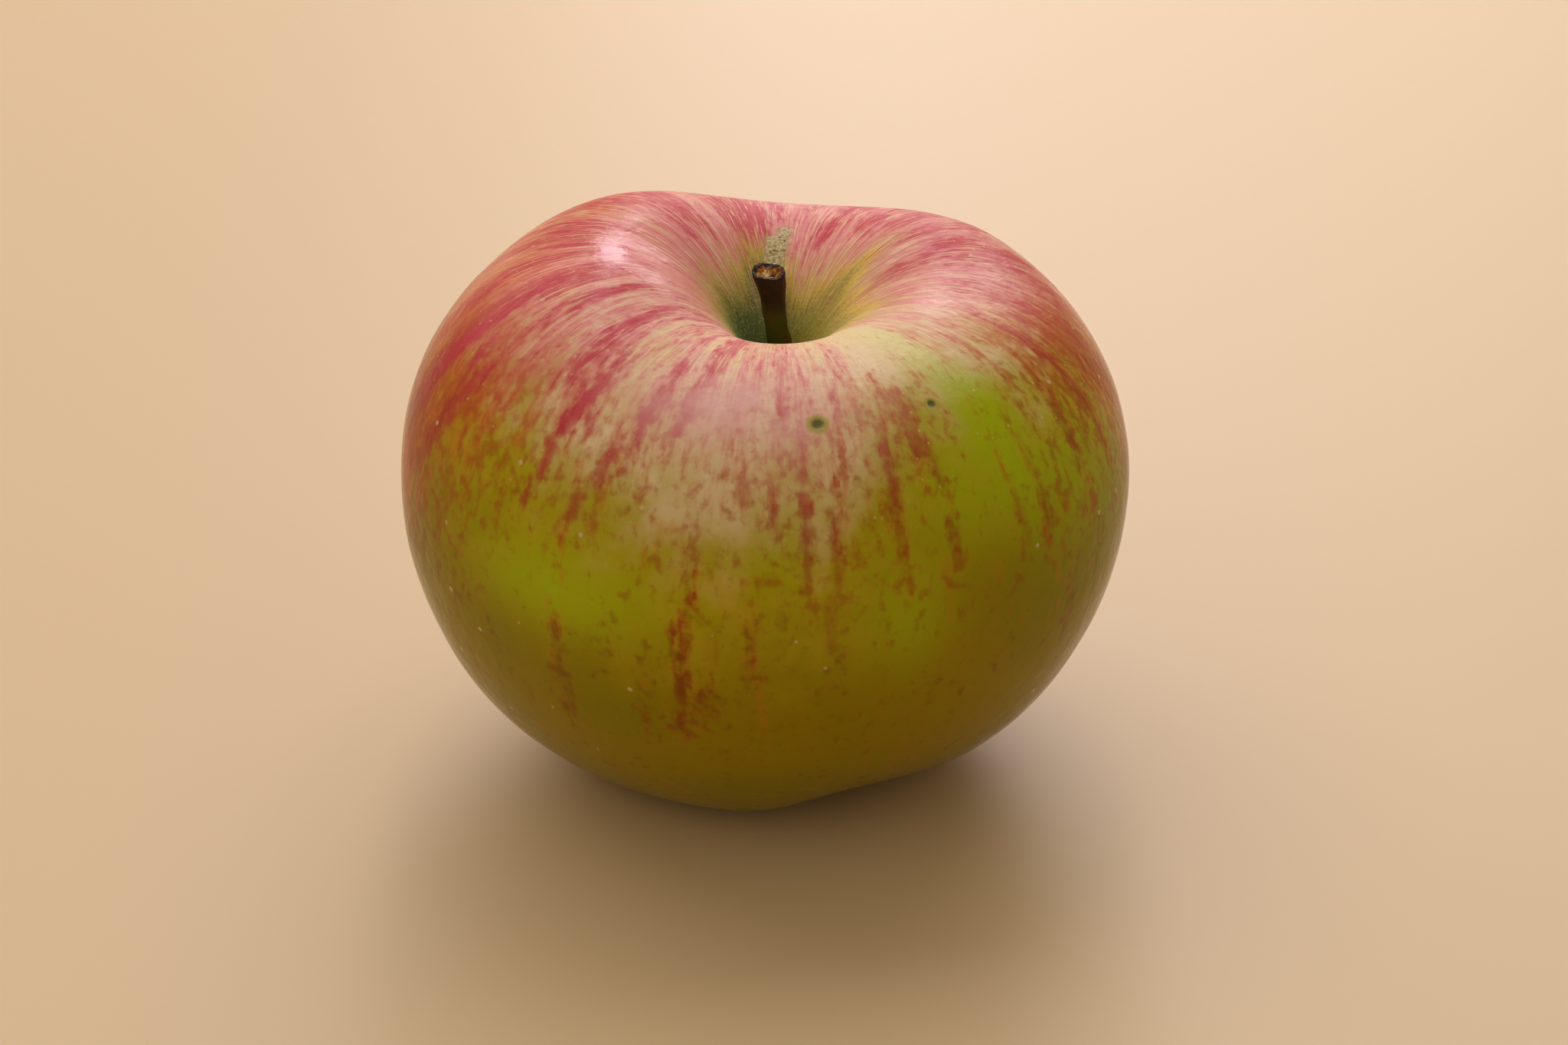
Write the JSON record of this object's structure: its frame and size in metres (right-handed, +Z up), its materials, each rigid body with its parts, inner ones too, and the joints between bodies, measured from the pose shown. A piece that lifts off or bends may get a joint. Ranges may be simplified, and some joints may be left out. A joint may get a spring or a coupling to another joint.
{
  "type": "apple",
  "caption": "Whole ripe dessert apple, squat and gently lobed, with its woody stalk in a deep cavity and dried sepals in the basin, resting on small flat feet.",
  "frame": {"origin": "on the surface that the apple rests on, under the middle of its width and depth", "axes": "+Z up along the core with the stalk up, -Y towards the front that the picture shows, +X to the right of that view"},
  "size_m": [0.0824, 0.081, 0.0619],
  "materials": {
    "apple_skin": "waxy skin, red streaks over yellow-green, semi-gloss",
    "stalk_bark": "smooth dark brown bark, satin",
    "dried_sepal": "dry, downy, matt",
    "dried_stamen": "dry, matt"
  },
  "bodies": {
    "root": {"fruit": "apple_skin", "stalk": "stalk_bark", "sepals": "dried_sepal", "stamens": "dried_stamen"}
  },
  "joints": []
}
